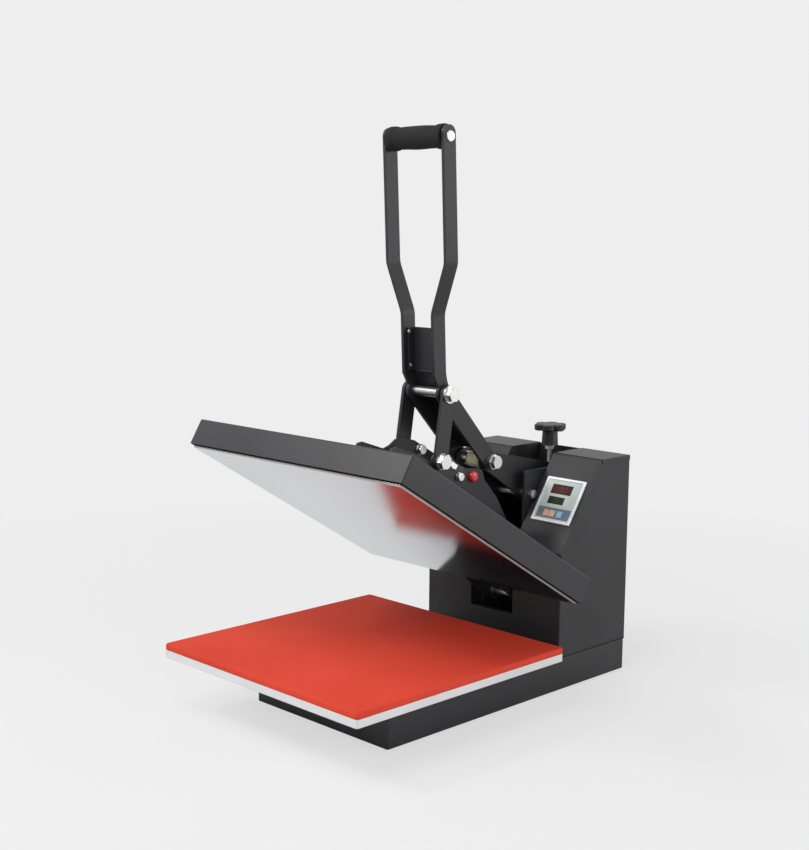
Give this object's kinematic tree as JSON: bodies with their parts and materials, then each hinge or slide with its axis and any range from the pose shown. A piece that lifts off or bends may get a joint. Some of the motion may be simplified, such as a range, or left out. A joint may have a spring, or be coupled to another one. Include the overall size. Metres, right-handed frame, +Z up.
{
  "type": "flat heat press",
  "caption": "Clamshell flat heat press: hinged heated platen over a red silicone pad, lever toggle, sloped control tower, pressure knob.",
  "frame": {"origin": "middle of the width and depth of the open press, on the surface it stands on", "axes": "+X to the operator's right, +Y to the rear, +Z up"},
  "size_m": [0.4084, 0.603, 0.7856],
  "materials": {
    "black_powder_coat": "black fine-texture powder coat",
    "silver_plate": "pale silver enamel",
    "heating_face": "smooth grey non-stick coated aluminium",
    "red_silicone": "matt orange-red silicone sponge",
    "bright_zinc": "bright zinc plated steel",
    "bare_steel": "plain ground steel",
    "bronze": "plain bearing bronze",
    "black_plastic": "moulded black plastic",
    "black_rubber": "black rubber",
    "black_foam": "black foam rubber",
    "cream_nylon": "moulded cream nylon",
    "red_lens": "glossy red plastic",
    "panel_rim": "bright satin rim",
    "panel_film": "printed pale grey-green film",
    "dark_window": "smoked display window",
    "rose_key": "soft rose key",
    "blue_key": "soft light blue key",
    "mineral_board": "pressed mineral fibre board",
    "red_switch": "glossy red plastic"
  },
  "bodies": {
    "root": {"base_channel": "black_powder_coat", "base_feet": "black_rubber", "controller_body": "black_plastic", "display_windows": "dark_window", "front_sill": "black_powder_coat", "hinge_shaft": "bare_steel", "left_frame_plate": "black_powder_coat", "left_housing": "black_powder_coat", "lift_springs": "bare_steel", "lower_platen": "silver_plate", "panel_face": "panel_film", "panel_frame": "panel_rim", "platen_rails": "black_powder_coat", "power_inlet": "black_plastic", "power_relay": "black_plastic", "rear_panel": "black_powder_coat", "right_frame_plate": "black_powder_coat", "right_housing": "black_powder_coat", "rocker_pivot_bolt": "bright_zinc", "screw_seat": "black_powder_coat", "silicone_pad": "red_silicone", "switch_bezel": "black_plastic", "top_caps": "black_powder_coat"},
    "lift_arm": {"left_arm_plate": "black_powder_coat", "right_arm_plate": "black_powder_coat", "arm_base": "black_powder_coat", "arm_web": "black_powder_coat", "hinge_bushes": "bronze", "upper_cover": "black_powder_coat", "heating_plate": "heating_face", "heater_element": "bare_steel", "insulation_board": "mineral_board", "cover_bolts": "bright_zinc", "indicator_lamp": "red_lens", "spring_pin": "bare_steel"},
    "rocker": {"pressure_rocker": "black_powder_coat", "toggle_pin": "bare_steel", "toggle_pin_ends": "bright_zinc", "toggle_roller": "cream_nylon", "screw_nut": "bare_steel"},
    "handle": {"left_rear_arm": "black_powder_coat", "right_rear_arm": "black_powder_coat", "left_handle_bar": "black_powder_coat", "right_handle_bar": "black_powder_coat", "handle_web": "black_powder_coat", "grip_tube": "bare_steel", "grip_sleeve": "black_foam", "grip_bolts": "bright_zinc", "knee_shaft": "bare_steel", "knee_bolt": "bright_zinc"},
    "front_links": {"left_front_link": "black_powder_coat", "right_front_link": "black_powder_coat", "link_pins": "bright_zinc"},
    "pressure_knob": {"pressure_knob": "black_plastic", "pressure_screw": "bright_zinc", "screw_collar": "bright_zinc"},
    "set_key": {"set_key": "rose_key"},
    "lower_key": {"lower_key": "rose_key"},
    "raise_key": {"raise_key": "blue_key"},
    "power_switch": {"power_switch": "red_switch"}
  },
  "joints": [
    {"name": "lift_hinge", "type": "hinge", "parent": "root", "child": "lift_arm", "pos_m": [0, 0.1915, 0.111], "axis": [1, 0, 0], "range_deg": [0, 31.1], "stiffness_Nm_per_rad": 32, "springref_deg": -108.86, "deforming": ["lift_springs"]},
    {"name": "rocker_tilt", "type": "hinge", "parent": "root", "child": "rocker", "pos_m": [0, 0.183, 0.269], "axis": [1, 0, 0], "range_deg": [-1.2, 1.2]},
    {"name": "handle_pivot", "type": "hinge", "parent": "rocker", "child": "handle", "pos_m": [0, 0.1038, 0.3244], "axis": [1, 0, 0], "range_deg": [0, 78.45]},
    {"name": "knee_joint", "type": "hinge", "parent": "handle", "child": "front_links", "pos_m": [0, 0.00689, 0.42833], "axis": [1, 0, 0], "range_deg": [-128.15, 0]},
    {"name": "knob_turn", "type": "hinge", "parent": "root", "child": "pressure_knob", "pos_m": [0, 0.272, 0.3], "axis": [0, 0, 1], "range_deg": [-536.94, 536.94]},
    {"name": "set_key_press", "type": "slide", "parent": "root", "child": "set_key", "axis": [0, 0.8275, -0.5615], "range_m": [0, 0.0008], "stiffness_N_per_m": 300, "springref_m": -0.0004},
    {"name": "lower_key_press", "type": "slide", "parent": "root", "child": "lower_key", "axis": [0, 0.8275, -0.5615], "range_m": [0, 0.0008], "stiffness_N_per_m": 300, "springref_m": -0.0004},
    {"name": "raise_key_press", "type": "slide", "parent": "root", "child": "raise_key", "axis": [0, 0.8275, -0.5615], "range_m": [0, 0.0008], "stiffness_N_per_m": 300, "springref_m": -0.0004},
    {"name": "switch_rock", "type": "hinge", "parent": "root", "child": "power_switch", "pos_m": [-0.0845, 0.296, 0.109], "axis": [1, 0, 0], "range_deg": [0, 18]}
  ],
  "couplings": [
    {"joint": "handle_pivot", "follows": "lift_hinge", "ratio": 2.5223},
    {"joint": "knee_joint", "follows": "lift_hinge", "ratio": -4.1202},
    {"joint": "knob_turn", "follows": "rocker_tilt", "ratio": 447.36}
  ]
}
